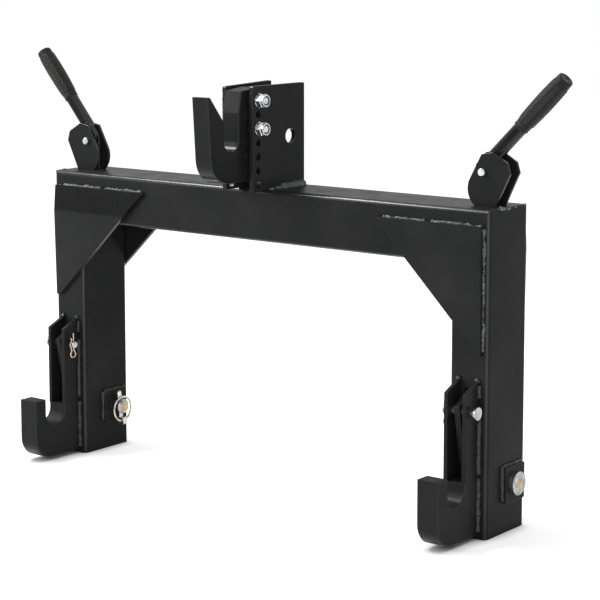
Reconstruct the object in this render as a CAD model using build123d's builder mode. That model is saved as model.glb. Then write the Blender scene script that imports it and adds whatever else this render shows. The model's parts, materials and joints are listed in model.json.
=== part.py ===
# Three point quick hitch: a welded arch of square tube that hangs on a tractor's three links
# and picks up an implement with two lower hooks and one top hook.
# Millimetres. +X is the right-hand side seen from the hooks, -Y is the hook side, +Z is up.
# The origin is on the floor, under the middle of the whole part's box.
from math import cos, radians, sin
import os

from build123d import *

# Frame of tube
frame_width = 740.0
frame_height = 410.0
tube_depth = 90.0
leg_width = 55.0
cross_height = 70.0
tube_wall = 4.0
tube_radius = 6.0
tube_inner_radius = 2.0

# Tractor side opening low in each leg
window_height = 118.0
window_wall = 4.5
window_radius = 8.0

# Bent corner plates on the front and the back of each corner
gusset_thickness = 6.0
gusset_bulge = 3.0
gusset_crease_height = 354.0
gusset_top = 390.0
gusset_bottom = 231.0
gusset_edge_inset = 7.0
gusset_tip_width = {"left": 6.0, "right": 1.0}
gusset_reach = {"left": 171.0, "right": 157.5}

# Lower hooks
hook_thickness = 32.0
hook_foot_gap = 5.0
hook_reach = 87.0
hook_prong = 21.0
hook_prong_height = 90.0
hook_throat_radius = 18.25
hook_throat_floor = 51.0
hook_post_top = 76.0
hook_toe_radius = 30.0
hook_edge = 1.6

# Pair of plates that carry each latch
latch_plate_thickness = 5.0
latch_plate_reach = 29.0
latch_plate_shoulder = 186.0
latch_plate_top = 199.0

# Latch, its pin and its spring clip
latch_pin_radius = 5.0
latch_pin_reach = 16.0
latch_pin_height = 162.6
latch_pin_head_radius = 8.0
latch_pin_head = 3.0
latch_pin_head_gap = 6.5
latch_pin_tail = 9.5
running_gap = 0.05
latch_thickness = 8.0
latch_head_reach = 7.7
latch_head_rise = 9.5
latch_arm_rise = 17.5
latch_back_gap = 1.5
latch_half_swing_deg = 16.0
latch_arm_half = 7.0
latch_tongue_length = 75.6
latch_front_share = 0.19
latch_bend_share = 0.87
latch_tip_share = 0.15
latch_slot_gap = 1.5
latch_slot_bottom = 146.0
latch_slot_top = 188.0
clip_wire = 1.8
clip_inset = 4.0
clip_leg_rise = 16.5
clip_leg_drop = 5.6
clip_leg_lean = 1.8
clip_loop_drop = 18.2
clip_loop_radius = 4.2
clip_grip_gap = 0.8
clip_flare = 3.0
clip_flare_rise = 10.3
clip_hole_gap = 0.15

# Lower link pins and their square plates
pin_plate_thickness = 6.0
pin_plate_depth = 43.0
pin_plate_height = 46.0
pin_plate_inset = 37.0
pin_plate_bottom = 39.0
pin_plate_corner = 2.0
link_pin_radius = 11.0
link_pin_gap = 0.1
link_pin_inset = 58.5
link_pin_height = 62.0
link_pin_head_radius = 15.0
link_pin_head = 6.0
link_pin_tail = 17.0
link_pin_chamfer = 3.0

# Linchpins with their spring rings
linchpin_radius = 3.5
linchpin_gap = 0.1
linchpin_from_tail = 10.0
linchpin_lean_deg = 5.0
linchpin_rise = 23.0
linchpin_drop = 27.0
linchpin_head_height = 10.5
linchpin_head_width = 9.0
linchpin_head_side = 4.5
ring_wire = 3.0
ring_radius = 17.7
ring_offset = 5.3
ring_hole_gap = 0.9
ring_head_wall = 1.8

# Top bracket: two plates on the cross tube
bracket_thickness = 6.0
bracket_outer_half = 26.0
bracket_front = 29.5
bracket_depth = {"left": 95.0, "right": 108.0}
bracket_front_height = {"left": 136.0, "right": 137.8}
bracket_rear_height = {"left": 139.8, "right": 138.3}
bracket_corner = 2.5
height_hole_radius = 5.3
height_hole_count = 7
height_hole_pitch = 18.5
height_hole_first = 8.0
height_hole_inset = 11.5
upper_bolt_index = 6
lower_bolt_index = 4
top_pin_hole_radius = 10.0
top_pin_hole_inset = 78.0
top_pin_hole_height = 68.5

# Top hook
top_hook_thickness = 27.0
top_hook_foot_gap = 13.3
top_hook_prong_height = 126.5
top_hook_prong = 27.7
top_hook_prong_lean = 5.5
top_hook_prong_tip = 6.0
top_hook_slope_height = 93.0
top_hook_throat_radius = 13.9
top_hook_throat_floor = 53.7
top_hook_post_proud = 14.2
top_hook_post_inside = 25.5
top_hook_post_height = 135.0
top_hook_crown = 3.5
top_hook_lip_height = 103.0
top_hook_lip_back = 5.6
top_hook_toe_radius = 34.0
top_hook_edge = 1.2

# Bolts through the top bracket
bolt_radius = 5.0
bolt_head_flats = 17.0
bolt_head = 6.4
bolt_tail_gap = 0.6
nut_height = 8.0
nut_collar_height = 3.6
nut_collar_radius = 8.2
nut_insert_radius = 6.4
nut_insert_depth = 1.4
washer_radius = 9.3
washer_thickness = 2.0
spacer_radius = 8.0
hex_chamfer = 0.9

# Handle brackets: two plates on top of each corner
handle_plate_thickness = 3.0
handle_gap = 18.8
handle_bracket_inset = {"left": 4.0, "right": 0.0}
handle_pin_inset = 3.0
handle_pin_height = 42.0
handle_pin_radius = 5.0
handle_pin_proud = 5.0
handle_pin_chamfer = 0.8
handle_plate_top = 67.2
handle_plate_inner_top = 64.2
handle_plate_shoulder = 54.8
handle_plate_outer = 41.5
handle_plate_belly = 22.0
handle_plate_hip = 34.0

# Handles: lever with a crank, and a soft grip
handle_rest_deg = {"left": 40.5, "right": 45.0}
handle_centre_deg = 5.0
handle_half_swing_deg = 40.0
lever_radius = 9.0
lever_offset = 7.1
lever_end_distance = 154.0
lever_root_distance = 16.0
lever_hub_radius = 8.0
lever_side_gap = 0.4
crank_radius = 10.5
crank_thickness = 8.6
crank_eye_radius = 4.6
grip_distance = 72.5
grip_length = 87.0
grip_root_radius = 10.3
grip_belly_radius = 12.3
grip_end_radius = 10.9
grip_belly_share = 0.52
grip_vent_radius = 1.5
grip_vent_depth = 3.0

# Pull rods inside the legs, with both ends bent to hook into their holes
rod_radius = 2.5
rod_crank_gap = 0.6
rod_elbow_radius = 3.0
rod_elbow_length = 12.0
rod_foot_play = 0.6
rod_foot_side_gap = 1.5
rod_foot_tail = 5.5
rod_bend_radius = 40.0
rod_upper_bend_drop = 72.0
rod_lower_bend_rise = 48.0
rod_slot_gap = 1.5

# Places worked out from the sizes above
half_width = frame_width / 2
leg_centre = half_width - leg_width / 2
leg_inner = half_width - leg_width
handle_pivot_height = frame_height + handle_pin_height
rear_reach = tube_depth + gusset_bulge + gusset_thickness
top_hook_reach = (
    bracket_front
    + top_hook_post_proud
    + 2 * top_hook_throat_radius
    + top_hook_prong
    + top_hook_prong_lean
)
front_y = (top_hook_reach - rear_reach) / 2
rear_y = front_y + tube_depth
handle_y = front_y + tube_depth / 2
crank_front_y = handle_y - handle_gap / 2 + lever_side_gap
rod_top_y = crank_front_y + crank_thickness + rod_crank_gap + rod_radius
grip_end = grip_distance + grip_length


def handle_pivot(side_name):
    """Distance of a handle's pivot from the middle of the frame."""
    return leg_centre - handle_pin_inset - handle_bracket_inset[side_name]


def handle_reach(side_name):
    """Distance of a handle's end from the middle of the frame."""
    lean = radians(handle_rest_deg[side_name])
    beside = grip_end_radius - lever_offset
    return handle_pivot(side_name) + grip_end * sin(lean) + beside * cos(lean)


mid_x = (handle_reach("left") - handle_reach("right")) / 2
sides = {"left": -1, "right": 1}


def at_x(side, distance):
    """Place along X, measured from the middle of the frame towards one side."""
    return mid_x + side * distance


def side_plane(x):
    """Sketch plane facing +X, with Y and Z as its axes."""
    return Plane(origin=(x, 0, 0), x_dir=(0, 1, 0), z_dir=(1, 0, 0))


def front_plane(y):
    """Sketch plane facing -Y, with X and Z as its axes."""
    return Plane(origin=(0, y, 0), x_dir=(1, 0, 0), z_dir=(0, -1, 0))


def save(piece, label):
    """Labels one finished piece and writes it."""
    piece.part.label = label
    export_step(piece.part, f"parts/{label}.step")


def mitre_plane(side):
    """Plane of the mitre joint, facing the outside of the corner."""
    return Plane(
        origin=(at_x(side, half_width), 0, frame_height),
        x_dir=(0, 1, 0),
        z_dir=(side * cross_height, 0, -leg_width),
    )


def make_cross_tube():
    with BuildPart() as tube:
        with BuildSketch(side_plane(mid_x)):
            with Locations((front_y + tube_depth / 2, frame_height - cross_height / 2)):
                RectangleRounded(tube_depth, cross_height, tube_radius)
                RectangleRounded(
                    tube_depth - 2 * tube_wall,
                    cross_height - 2 * tube_wall,
                    tube_inner_radius,
                    mode=Mode.SUBTRACT,
                )
        extrude(amount=half_width, both=True)
        for side in sides.values():
            split(bisect_by=mitre_plane(side), keep=Keep.BOTTOM)
        for side_name, side in sides.items():
            with BuildSketch(Plane.XY.offset(frame_height)):
                swing = crank_radius * (1 - cos(radians(handle_half_swing_deg)))
                middle = handle_pivot(side_name) - crank_radius + swing / 2
                with Locations((at_x(side, middle), rod_top_y)):
                    SlotOverall(
                        swing + 2 * (rod_radius + rod_slot_gap),
                        2 * (rod_radius + rod_slot_gap),
                    )
            extrude(amount=-(tube_wall + tube_inner_radius), mode=Mode.SUBTRACT)
    return tube


def make_leg(side):
    with BuildPart() as leg:
        with BuildSketch():
            with Locations((at_x(side, leg_centre), front_y + tube_depth / 2)):
                RectangleRounded(leg_width, tube_depth, tube_radius)
                RectangleRounded(
                    leg_width - 2 * tube_wall,
                    tube_depth - 2 * tube_wall,
                    tube_inner_radius,
                    mode=Mode.SUBTRACT,
                )
        extrude(amount=frame_height)
        split(bisect_by=mitre_plane(side), keep=Keep.TOP)
        # Window that lets the tractor's lower link in from behind
        with BuildSketch(front_plane(rear_y)):
            with Locations((at_x(side, leg_centre), 0)):
                RectangleRounded(leg_width - 2 * (tube_wall + window_wall), 2 * window_height, window_radius)
        extrude(amount=tube_wall + tube_inner_radius, mode=Mode.SUBTRACT)
        # Slot that lets the latch's arm in through the front wall
        with BuildSketch(front_plane(front_y)):
            with Locations((at_x(side, leg_centre), (latch_slot_bottom + latch_slot_top) / 2)):
                Rectangle(latch_thickness + 2 * latch_slot_gap, latch_slot_top - latch_slot_bottom)
        extrude(amount=-(tube_wall + tube_inner_radius), mode=Mode.SUBTRACT)
        # Hole for the lower link pin
        with BuildSketch(side_plane(at_x(side, leg_centre))):
            with Locations((front_y + link_pin_inset, link_pin_height)):
                Circle(link_pin_radius + link_pin_gap)
        extrude(amount=leg_width, both=True, mode=Mode.SUBTRACT)
    return leg


def make_gusset(side, side_name, face_y, outward):
    """Bent corner plate on the front or the back of a corner. outward is -1 in front and 1 behind."""
    outer = half_width - gusset_edge_inset
    reach = outer - gusset_reach[side_name]
    back = face_y
    crease = face_y + outward * gusset_bulge
    skin = outward * gusset_thickness
    with BuildPart() as gusset:
        with BuildSketch(side_plane(mid_x)):
            with BuildLine():
                Polyline(
                    (back, gusset_bottom),
                    (crease, gusset_crease_height),
                    (back, gusset_top),
                    (back + skin, gusset_top),
                    (crease + skin, gusset_crease_height),
                    (back + skin, gusset_bottom),
                    close=True,
                )
            make_face()
        extrude(amount=half_width, both=True)
        with BuildSketch(front_plane(face_y)):
            with BuildLine():
                Polyline(
                    (at_x(side, outer), gusset_bottom),
                    (at_x(side, outer), gusset_top),
                    (at_x(side, reach), gusset_top),
                    (at_x(side, outer - gusset_tip_width[side_name]), gusset_bottom),
                    close=True,
                )
            make_face()
        extrude(amount=tube_depth, both=True, mode=Mode.INTERSECT)
    return gusset


def make_lower_hook(side):
    """J-shaped hook, flame cut from thick plate and welded to the front of a leg."""
    nose = front_y - hook_reach
    prong_back = nose + hook_prong
    throat_y = prong_back + hook_throat_radius
    throat_z = hook_throat_floor + hook_throat_radius
    post = throat_y + hook_throat_radius
    with BuildPart() as hook:
        with BuildSketch(side_plane(at_x(side, leg_centre))):
            with BuildLine():
                toe = Line((nose, hook_prong_height), (nose, hook_foot_gap + hook_toe_radius))
                heel = RadiusArc(toe @ 1, (nose + hook_toe_radius, hook_foot_gap), -hook_toe_radius)
                Polyline(
                    heel @ 1,
                    (front_y, hook_foot_gap),
                    (front_y, hook_post_top),
                    (post, hook_post_top),
                    (post, throat_z),
                )
                ThreePointArc(
                    (post, throat_z),
                    (throat_y, hook_throat_floor),
                    (prong_back, throat_z),
                )
                Polyline((prong_back, throat_z), (prong_back, hook_prong_height), toe @ 0)
            make_face()
        extrude(amount=hook_thickness / 2, both=True)
        outline = hook.faces().filter_by(Axis.X).edges()
        chamfer(outline.filter_by(lambda e: e.center().Y < post), hook_edge)
    return hook


def make_latch_plate(side, wall):
    """One of the two plates that carry a latch. wall is -1 for the inner one and 1 for the outer one."""
    near = hook_thickness / 2 - latch_plate_thickness
    start = leg_centre + wall * near
    with BuildPart() as plate:
        with BuildSketch(side_plane(at_x(side, start))):
            with BuildLine():
                Polyline(
                    (front_y, hook_post_top),
                    (front_y - latch_plate_reach, hook_post_top),
                    (front_y - latch_plate_reach, latch_plate_shoulder),
                    (front_y, latch_plate_top),
                    close=True,
                )
            make_face()
            with Locations((front_y - latch_pin_reach, latch_pin_height)):
                Circle(latch_pin_radius + running_gap, mode=Mode.SUBTRACT)
        extrude(amount=side * wall * latch_plate_thickness)
    return plate


def latch_point(angle, along, across):
    """Point of the latch's outline: along its arm and across it, turned up by an angle."""
    c, s = cos(radians(angle)), sin(radians(angle))
    return (
        front_y - latch_pin_reach + along * c - across * s,
        latch_pin_height + along * s + across * c,
    )


def latch_rest_deg(side_name):
    """How far the latch's arm stands above level when the handle is let out."""
    lean = handle_rest_deg[side_name] - handle_centre_deg
    return lean * latch_half_swing_deg / handle_half_swing_deg


# Length of the latch's arm that turns the crank's half stroke into the latch's half swing
latch_arm = crank_radius * sin(radians(handle_half_swing_deg)) / sin(radians(latch_half_swing_deg))
# How far the rod's foot shifts along the arm as the arm swings through level
foot_shift = latch_arm * (1 - cos(radians(latch_half_swing_deg)))


def make_latch(side, side_name):
    """Tongue that swings over the hook's throat, in one plate with the arm behind it."""
    angle = latch_rest_deg(side_name)
    slope = radians(latch_half_swing_deg)
    length = latch_tongue_length

    def back(across):
        """Point of the tongue's back edge, which lies along the leg when the latch is open."""
        along = (latch_pin_reach - latch_back_gap + across * sin(slope)) / cos(slope)
        return latch_point(angle, along, across)

    with BuildPart() as latch:
        with BuildSketch(side_plane(at_x(side, leg_centre))):
            with BuildLine():
                Polyline(
                    latch_point(angle, -latch_head_reach, latch_head_rise),
                    latch_point(angle, -latch_front_share * length, -latch_bend_share * length),
                    latch_point(angle, -latch_tip_share * length, -length),
                    back(-length),
                    back(-latch_arm_half),
                    latch_point(angle, latch_arm, -latch_arm_half),
                    latch_point(angle, latch_arm + latch_arm_half, 0),
                    latch_point(angle, latch_arm + latch_arm_half, latch_arm_half),
                    latch_point(angle, latch_arm, latch_arm_rise),
                    close=True,
                )
            make_face()
            with Locations(latch_point(angle, 0, 0)):
                Circle(latch_pin_radius + running_gap, mode=Mode.SUBTRACT)
            with Locations(latch_point(angle, latch_arm - foot_shift / 2, 0)):
                SlotOverall(
                    2 * (rod_radius + rod_foot_play) + foot_shift,
                    2 * (rod_radius + rod_foot_play),
                    rotation=angle,
                    mode=Mode.SUBTRACT,
                )
        extrude(amount=latch_thickness / 2, both=True)
    return latch


def make_latch_pin(side):
    """Clevis pin with its head on the outer side."""
    outer_face = leg_centre + hook_thickness / 2
    inner_face = leg_centre - hook_thickness / 2
    head = outer_face + latch_pin_head_gap
    tail = inner_face - latch_pin_tail
    centre = (front_y - latch_pin_reach, latch_pin_height)
    with BuildPart() as pin:
        with BuildSketch(side_plane(at_x(side, head))):
            with Locations(centre):
                Circle(latch_pin_radius)
        extrude(amount=side * (tail - head))
        with BuildSketch(side_plane(at_x(side, head))):
            with Locations(centre):
                Circle(latch_pin_head_radius)
        extrude(amount=side * latch_pin_head)
        ends = pin.edges().filter_by(GeomType.CIRCLE).sort_by(Axis.X)
        chamfer(ends[0 if side > 0 else -1], handle_pin_chamfer)
        with BuildSketch(Plane.XY.offset(latch_pin_height)):
            with Locations((at_x(side, tail + clip_inset), front_y - latch_pin_reach)):
                Circle(clip_wire / 2 + clip_hole_gap)
        extrude(amount=2 * latch_pin_radius, both=True, mode=Mode.SUBTRACT)
    return pin


def make_latch_clip(side):
    """Hairpin clip: one leg through the pin, the other sprung round the front of it."""
    x = at_x(side, leg_centre - hook_thickness / 2 - latch_pin_tail + clip_inset)
    y = front_y - latch_pin_reach
    z = latch_pin_height
    around = latch_pin_radius + clip_wire / 2 + clip_grip_gap
    loop = clip_loop_radius
    low = z - clip_loop_drop
    with BuildPart() as clip:
        with BuildLine() as wire:
            FilletPolyline(
                (x, y, z + clip_leg_rise),
                (x, y, z - clip_leg_drop),
                (x, y + clip_leg_lean, low + 2 * loop),
                (x, y + loop, low + loop),
                (x, y + loop - clip_leg_lean, low),
                (x, y - loop, low),
                (x, y - loop - clip_wire, low + loop),
                (x, y - loop + clip_wire / 2, z - 2 * loop),
                (x, y - around, z),
                (x, y - loop / 2 - clip_wire / 2, z + latch_pin_radius + clip_wire),
                (x, y - loop / 2 - clip_wire / 2 - clip_flare, z + clip_flare_rise),
                radius=clip_wire,
            )
        with BuildSketch(Plane(origin=wire.line @ 0, x_dir=(1, 0, 0), z_dir=wire.line % 0)):
            Circle(clip_wire / 2)
        sweep()
    return clip


def make_pin_plate(side, wall):
    """Square plate round the lower link pin's hole. wall is -1 on the leg's inner side and 1 outside."""
    face = leg_centre + wall * leg_width / 2
    with BuildPart() as plate:
        with BuildSketch(side_plane(at_x(side, face))):
            with Locations(
                (
                    front_y + pin_plate_inset + pin_plate_depth / 2,
                    pin_plate_bottom + pin_plate_height / 2,
                )
            ):
                RectangleRounded(pin_plate_depth, pin_plate_height, pin_plate_corner)
            with Locations((front_y + link_pin_inset, link_pin_height)):
                Circle(link_pin_radius + link_pin_gap, mode=Mode.SUBTRACT)
        extrude(amount=side * wall * pin_plate_thickness)
    return plate


def make_link_pin(side):
    """Headed pin for the tractor's lower link, with a cross hole near its inner end."""
    head = half_width + pin_plate_thickness
    tail = leg_inner - pin_plate_thickness - link_pin_tail
    centre = (front_y + link_pin_inset, link_pin_height)
    with BuildPart() as pin:
        with BuildSketch(side_plane(at_x(side, head))):
            with Locations(centre):
                Circle(link_pin_radius)
        extrude(amount=side * (tail - head))
        with BuildSketch(side_plane(at_x(side, head))):
            with Locations(centre):
                Circle(link_pin_head_radius)
        extrude(amount=side * link_pin_head)
        rims = pin.edges().filter_by(GeomType.CIRCLE).sort_by(Axis.X)
        chamfer(rims[0 if side > 0 else -1], link_pin_chamfer)
        with BuildSketch(linchpin_plane(side, linchpin_x())):
            Circle(linchpin_radius + linchpin_gap)
        extrude(amount=2 * link_pin_radius, both=True, mode=Mode.SUBTRACT)
    return pin


def linchpin_x():
    """Distance of the linchpin from the middle of the frame."""
    return leg_inner - pin_plate_thickness - link_pin_tail + linchpin_from_tail


def linchpin_plane(side, distance):
    """Plane across the linchpin at the lower link pin's axis, which leans forward with its hole."""
    lean = radians(linchpin_lean_deg)
    return Plane(
        origin=(at_x(side, distance), front_y + link_pin_inset, link_pin_height),
        x_dir=(1, 0, 0),
        z_dir=(0, -sin(lean), cos(lean)),
    )


def ring_hinge(side):
    """Point where the ring hangs in the linchpin's head."""
    return linchpin_plane(side, linchpin_x() - ring_offset).from_local_coords(
        (0, 0, linchpin_head_height / 2 - linchpin_drop)
    )


def make_linchpin(side):
    """Shank through the lower link pin, on a head that holds the ring."""
    across = linchpin_plane(side, linchpin_x())
    head_z = linchpin_head_height / 2 - linchpin_drop
    hole = ring_wire / 2 + ring_hole_gap
    outer = side * linchpin_head_side
    inner = -side * (ring_offset + hole + ring_head_wall)
    with BuildPart() as linchpin:
        with BuildSketch(across.offset(linchpin_head_height - linchpin_drop)):
            Circle(linchpin_radius)
        extrude(amount=linchpin_rise + linchpin_drop - linchpin_head_height)
        chamfer(linchpin.edges().group_by(Axis.Z)[-1], linchpin_radius / 2)
        with BuildSketch(Plane(origin=across.origin, x_dir=across.x_dir, z_dir=-across.y_dir)):
            with Locations(((outer + inner) / 2, head_z)):
                RectangleRounded(abs(outer - inner), linchpin_head_height, linchpin_head_height / 4)
            with Locations((-side * ring_offset, head_z)):
                Circle(hole, mode=Mode.SUBTRACT)
        extrude(amount=linchpin_head_width / 2, both=True)
    return linchpin


def make_linchpin_ring(side):
    """Round wire ring that snaps round the end of the lower link pin."""
    rise = linchpin_head_height / 2 - linchpin_drop + ring_radius
    centre = linchpin_plane(side, linchpin_x() - ring_offset).from_local_coords((0, 0, rise))
    with BuildPart() as ring:
        with Locations(Plane(origin=centre, x_dir=(0, 1, 0), z_dir=(1, 0, 0))):
            Torus(ring_radius, ring_wire / 2)
    return ring


def height_hole(index):
    """Centre of one of the holes that set the top hook's height, in Y and Z."""
    return (
        front_y - bracket_front + height_hole_inset,
        frame_height + height_hole_first + index * height_hole_pitch,
    )


def make_bracket_plate(side, side_name):
    """Upright plate of the top bracket, with the column of height holes and the top link's hole."""
    front = front_y - bracket_front
    rear = front + bracket_depth[side_name]
    with BuildPart() as plate:
        with BuildSketch(side_plane(mid_x + side * (bracket_outer_half - bracket_thickness))):
            with BuildLine():
                Polyline(
                    (front, frame_height),
                    (rear, frame_height),
                    (rear, frame_height + bracket_rear_height[side_name]),
                    (front, frame_height + bracket_front_height[side_name]),
                    close=True,
                )
            make_face()
            with Locations(*[height_hole(i) for i in range(height_hole_count)]):
                Circle(height_hole_radius, mode=Mode.SUBTRACT)
            with Locations(
                (
                    front + top_pin_hole_inset,
                    frame_height + top_pin_hole_height,
                )
            ):
                Circle(top_pin_hole_radius, mode=Mode.SUBTRACT)
        extrude(amount=side * bracket_thickness)
        corners = plate.edges().filter_by(Axis.X).filter_by(GeomType.LINE)
        fillet(corners.sort_by(Axis.Z)[-2:], bracket_corner)
    return plate


def make_top_hook():
    """J-shaped top hook with a funnel mouth, between the bracket's plates."""
    post = front_y - bracket_front - top_hook_post_proud
    throat_y = post - top_hook_throat_radius
    prong_back = throat_y - top_hook_throat_radius
    nose = prong_back - top_hook_prong
    tip = nose - top_hook_prong_lean
    back = front_y - bracket_front + top_hook_post_inside
    bottom = frame_height + top_hook_foot_gap
    floor = frame_height + top_hook_throat_floor
    throat_z = floor + top_hook_throat_radius
    prong_top = frame_height + top_hook_prong_height
    post_top = frame_height + top_hook_post_height
    with BuildPart() as hook:
        with BuildSketch(side_plane(mid_x)):
            with BuildLine():
                face = Line((tip, prong_top), (nose, bottom + top_hook_toe_radius))
                toe = RadiusArc(face @ 1, (nose + top_hook_toe_radius, bottom), -top_hook_toe_radius)
                Polyline(
                    toe @ 1,
                    (back, bottom),
                    (back, post_top),
                    (post + top_hook_lip_back, post_top - top_hook_crown),
                    (post, frame_height + top_hook_lip_height),
                    (post, throat_z),
                )
                ThreePointArc((post, throat_z), (throat_y, floor), (prong_back, throat_z))
                Polyline(
                    (prong_back, throat_z),
                    (prong_back, frame_height + top_hook_slope_height),
                    (tip + top_hook_prong_tip, prong_top),
                    face @ 0,
                )
            make_face()
        extrude(amount=top_hook_thickness / 2, both=True)
        outline = hook.faces().filter_by(Axis.X).edges()
        chamfer(outline.filter_by(lambda e: e.center().Y < post + top_hook_lip_back), top_hook_edge)
        with BuildSketch(side_plane(mid_x)):
            with Locations(*bolt_places()):
                Circle(height_hole_radius)
        extrude(amount=top_hook_thickness, both=True, mode=Mode.SUBTRACT)
    return hook


def bolt_places():
    return [height_hole(upper_bolt_index), height_hole(lower_bolt_index)]


def make_hook_bolts():
    head_face = mid_x - bracket_outer_half - washer_thickness
    length = 2 * (bracket_outer_half + washer_thickness) + nut_height + nut_collar_height - bolt_tail_gap
    with BuildPart() as bolts:
        with BuildSketch(side_plane(head_face)):
            with Locations(*bolt_places()):
                Circle(bolt_radius)
        extrude(amount=length)
        with BuildSketch(side_plane(head_face)):
            with Locations(*bolt_places()):
                RegularPolygon(bolt_head_flats / 2, 6, major_radius=False)
        extrude(amount=-bolt_head)
        chamfer(bolts.edges().group_by(Axis.X)[0], hex_chamfer)
        chamfer(bolts.edges().group_by(Axis.X)[-1], hex_chamfer)
    return bolts


def make_hook_nuts():
    """Lock nuts: a hexagon with a round collar, hollowed round the bolt's end for its insert."""
    seat = mid_x + bracket_outer_half + washer_thickness
    with BuildPart() as nuts:
        with BuildSketch(side_plane(seat)):
            with Locations(*bolt_places()):
                RegularPolygon(bolt_head_flats / 2, 6, major_radius=False)
        extrude(amount=nut_height)
        outer = nuts.edges().group_by(Axis.X)[-1]
        chamfer(outer, hex_chamfer)
        with BuildSketch(side_plane(seat + nut_height)):
            with Locations(*bolt_places()):
                Circle(nut_collar_radius)
        extrude(amount=nut_collar_height)
        fillet(nuts.edges().group_by(Axis.X)[-1], hex_chamfer)
        with BuildSketch(side_plane(seat + nut_height + nut_collar_height)):
            with Locations(*bolt_places()):
                Circle(nut_insert_radius)
        extrude(amount=-nut_insert_depth, mode=Mode.SUBTRACT)
        with BuildSketch(side_plane(seat)):
            with Locations(*bolt_places()):
                Circle(bolt_radius)
        extrude(amount=nut_height + nut_collar_height, mode=Mode.SUBTRACT)
    return nuts


def make_hook_washers():
    with BuildPart() as washers:
        for side in sides.values():
            with BuildSketch(side_plane(mid_x + side * bracket_outer_half)):
                with Locations(*bolt_places()):
                    Circle(washer_radius)
                    Circle(height_hole_radius, mode=Mode.SUBTRACT)
            extrude(amount=side * washer_thickness)
    return washers


def make_hook_spacers():
    inner = bracket_outer_half - bracket_thickness
    with BuildPart() as spacers:
        for side in sides.values():
            with BuildSketch(side_plane(mid_x + side * top_hook_thickness / 2)):
                with Locations(*bolt_places()):
                    Circle(spacer_radius)
                    Circle(height_hole_radius, mode=Mode.SUBTRACT)
            extrude(amount=side * (inner - top_hook_thickness / 2))
    return spacers


# Outline of a handle plate: distance outward from the leg's centre, then height above the tube.
# The shares are of the leg's width.
handle_plate_inner_top_share = -0.096
handle_plate_outer_top_share = 0.200
handle_plate_shoulder_share = 0.582
handle_plate_outer_share = 0.655
handle_plate_foot_share = 0.291
handle_plate_heel_share = -0.270
handle_plate_belly_share = -0.455
handle_plate_hip_share = -0.391


def make_handle_plate(side, side_name, wall):
    """One plate of the bracket that a handle turns in. wall is -1 in front and 1 behind."""
    near = handle_y + wall * handle_gap / 2
    middle = leg_centre - handle_bracket_inset[side_name]

    def corner(share, height):
        return (at_x(side, middle + share * leg_width), frame_height + height)

    with BuildPart() as plate:
        with BuildSketch(front_plane(near)):
            with BuildLine():
                Polyline(
                    corner(handle_plate_hip_share, handle_plate_hip),
                    corner(handle_plate_inner_top_share, handle_plate_inner_top),
                    corner(handle_plate_outer_top_share, handle_plate_top),
                    corner(handle_plate_shoulder_share, handle_plate_shoulder),
                    corner(handle_plate_outer_share, handle_plate_outer),
                    corner(handle_plate_foot_share, 0),
                    corner(handle_plate_heel_share, 0),
                )
                ThreePointArc(
                    corner(handle_plate_heel_share, 0),
                    corner(handle_plate_belly_share, handle_plate_belly),
                    corner(handle_plate_hip_share, handle_plate_hip),
                )
            make_face()
            with Locations((at_x(side, handle_pivot(side_name)), handle_pivot_height)):
                Circle(handle_pin_radius, mode=Mode.SUBTRACT)
        extrude(amount=-wall * handle_plate_thickness)
    return plate


def make_handle_pin(side, side_name):
    """Plain pin through both handle plates, standing a little proud of them."""
    half = handle_gap / 2 + handle_plate_thickness + handle_pin_proud
    with BuildPart() as pin:
        with BuildSketch(front_plane(handle_y)):
            with Locations((at_x(side, handle_pivot(side_name)), handle_pivot_height)):
                Circle(handle_pin_radius)
        extrude(amount=half, both=True)
        rims = pin.edges().filter_by(GeomType.CIRCLE)
        chamfer(rims, handle_pin_chamfer)
    return pin


def crank_point(side, side_name):
    """Centre of the crank pin at rest, in X and Z."""
    lift = radians(handle_rest_deg[side_name] - handle_centre_deg)
    return (
        at_x(side, handle_pivot(side_name) - crank_radius * cos(lift)),
        handle_pivot_height + crank_radius * sin(lift),
    )


def lever_plane(side, side_name, distance):
    """Plane across the lever at a distance from its pivot, centred on the lever's bar."""
    lean = radians(handle_rest_deg[side_name])
    direction = (side * sin(lean), 0, cos(lean))
    origin = (
        at_x(side, handle_pivot(side_name) + distance * sin(lean) - lever_offset * cos(lean)),
        handle_y,
        handle_pivot_height + distance * cos(lean) + lever_offset * sin(lean),
    )
    return Plane(origin=origin, x_dir=(0, 1, 0), z_dir=direction)


def make_lever(side, side_name):
    """Round bar with a flattened end, which turns on the pin and has the pull rod's crank."""
    pivot = (at_x(side, handle_pivot(side_name)), handle_pivot_height)
    crank = crank_point(side, side_name)
    root = lever_plane(side, side_name, lever_root_distance).origin
    with BuildPart() as lever:
        with BuildSketch(front_plane(crank_front_y)):
            with Locations(pivot):
                Circle(lever_hub_radius)
            with Locations(crank):
                Circle(crank_eye_radius)
            with Locations((root.X, root.Z)):
                Circle(lever_radius)
            make_hull()
        extrude(amount=-crank_thickness)
        with BuildSketch(lever_plane(side, side_name, lever_root_distance)):
            Circle(lever_radius)
        extrude(amount=lever_end_distance - lever_root_distance)
        with BuildSketch(front_plane(handle_y)):
            with Locations(pivot):
                Circle(handle_pin_radius + running_gap)
            with Locations(crank):
                Circle(rod_radius + running_gap)
        extrude(amount=handle_gap, both=True, mode=Mode.SUBTRACT)
    return lever


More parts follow.
